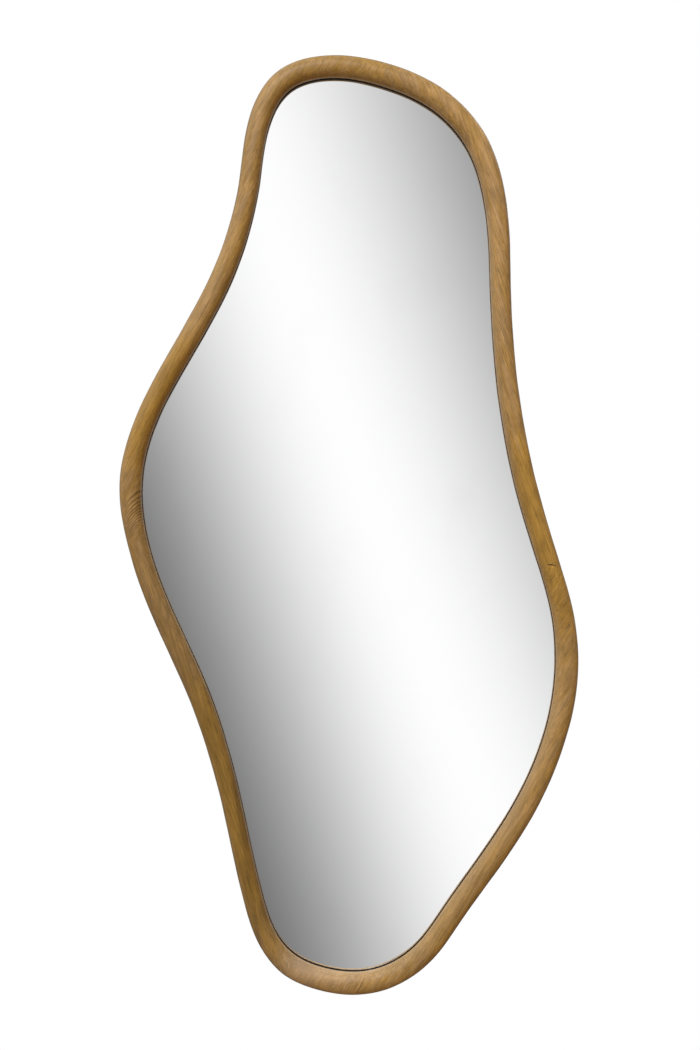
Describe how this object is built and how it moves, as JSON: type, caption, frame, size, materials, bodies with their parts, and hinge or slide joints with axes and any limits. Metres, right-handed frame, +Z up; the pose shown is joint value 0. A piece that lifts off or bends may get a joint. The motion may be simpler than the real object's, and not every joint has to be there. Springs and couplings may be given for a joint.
{
  "type": "wall mirror",
  "caption": "Tall wall mirror with an irregular, wavy outline: silvered glass set deep in a rounded solid-wood frame, with backing board, strap hangers and wall pads.",
  "frame": {"origin": "middle of the frame's flat back, on the rear face of the backing board; the mirror hangs on a wall behind it", "axes": "+Z up, +X to the right seen from the front, +Y from the glass into the wall"},
  "size_m": [0.7816, 0.0394, 1.5994],
  "materials": {
    "oiled_wood": "solid softwood, oiled to a satin sheen",
    "dowel_wood": "bare beech",
    "mirror_glass": "silvered float glass",
    "backing_board": "smooth hard fibreboard",
    "packing_foam": "closed-cell foam",
    "rubber": "matt black rubber",
    "zinc_steel": "bright zinc plate",
    "brass_plate": "brass plate"
  },
  "bodies": {
    "mirror": {"frame_board_upper_right": "oiled_wood", "frame_board_lower_right": "oiled_wood", "frame_board_lower_left": "oiled_wood", "frame_board_upper_left": "oiled_wood", "dowel_upper_right_outer": "dowel_wood", "dowel_upper_right_inner": "dowel_wood", "dowel_lower_right_outer": "dowel_wood", "dowel_lower_right_inner": "dowel_wood", "dowel_lower_left_outer": "dowel_wood", "dowel_lower_left_inner": "dowel_wood", "dowel_upper_left_outer": "dowel_wood", "dowel_upper_left_inner": "dowel_wood", "mirror_glass": "mirror_glass", "setting_block_right": "rubber", "setting_block_left": "rubber", "packing_strip_1": "packing_foam", "packing_strip_2": "packing_foam", "packing_strip_3": "packing_foam", "packing_strip_4": "packing_foam", "packing_strip_5": "packing_foam", "packing_strip_6": "packing_foam", "packing_strip_7": "packing_foam", "packing_strip_8": "packing_foam", "backing_board": "backing_board", "backing_screw_1": "zinc_steel", "backing_screw_2": "zinc_steel", "backing_screw_3": "zinc_steel", "backing_screw_4": "zinc_steel", "backing_screw_5": "zinc_steel", "backing_screw_6": "zinc_steel", "backing_screw_7": "zinc_steel", "backing_screw_8": "zinc_steel", "backing_screw_9": "zinc_steel", "backing_screw_10": "zinc_steel", "backing_screw_11": "zinc_steel", "backing_screw_12": "zinc_steel", "backing_screw_13": "zinc_steel", "backing_screw_14": "zinc_steel", "backing_screw_15": "zinc_steel", "backing_screw_16": "zinc_steel", "hanger_strap_right": "zinc_steel", "hanger_strap_left": "zinc_steel", "hanger_screw_right_1": "brass_plate", "hanger_screw_right_2": "brass_plate", "hanger_screw_left_1": "brass_plate", "hanger_screw_left_2": "brass_plate", "wall_pad_upper_right": "rubber", "wall_pad_upper_left": "rubber", "wall_pad_lower_right": "rubber", "wall_pad_lower_left": "rubber"},
    "ring_right": {"hanger_ring_right": "zinc_steel"},
    "ring_left": {"hanger_ring_left": "zinc_steel"}
  },
  "joints": [
    {"name": "ring_right_swing", "type": "hinge", "parent": "mirror", "child": "ring_right", "pos_m": [0.25767, 0.00285, 0.5539], "axis": [0.9921, 0, 0.1251], "range_deg": [0, 180]},
    {"name": "ring_left_swing", "type": "hinge", "parent": "mirror", "child": "ring_left", "pos_m": [-0.1835, 0.00285, 0.55441], "axis": [0.9732, 0, -0.23], "range_deg": [0, 180]}
  ]
}
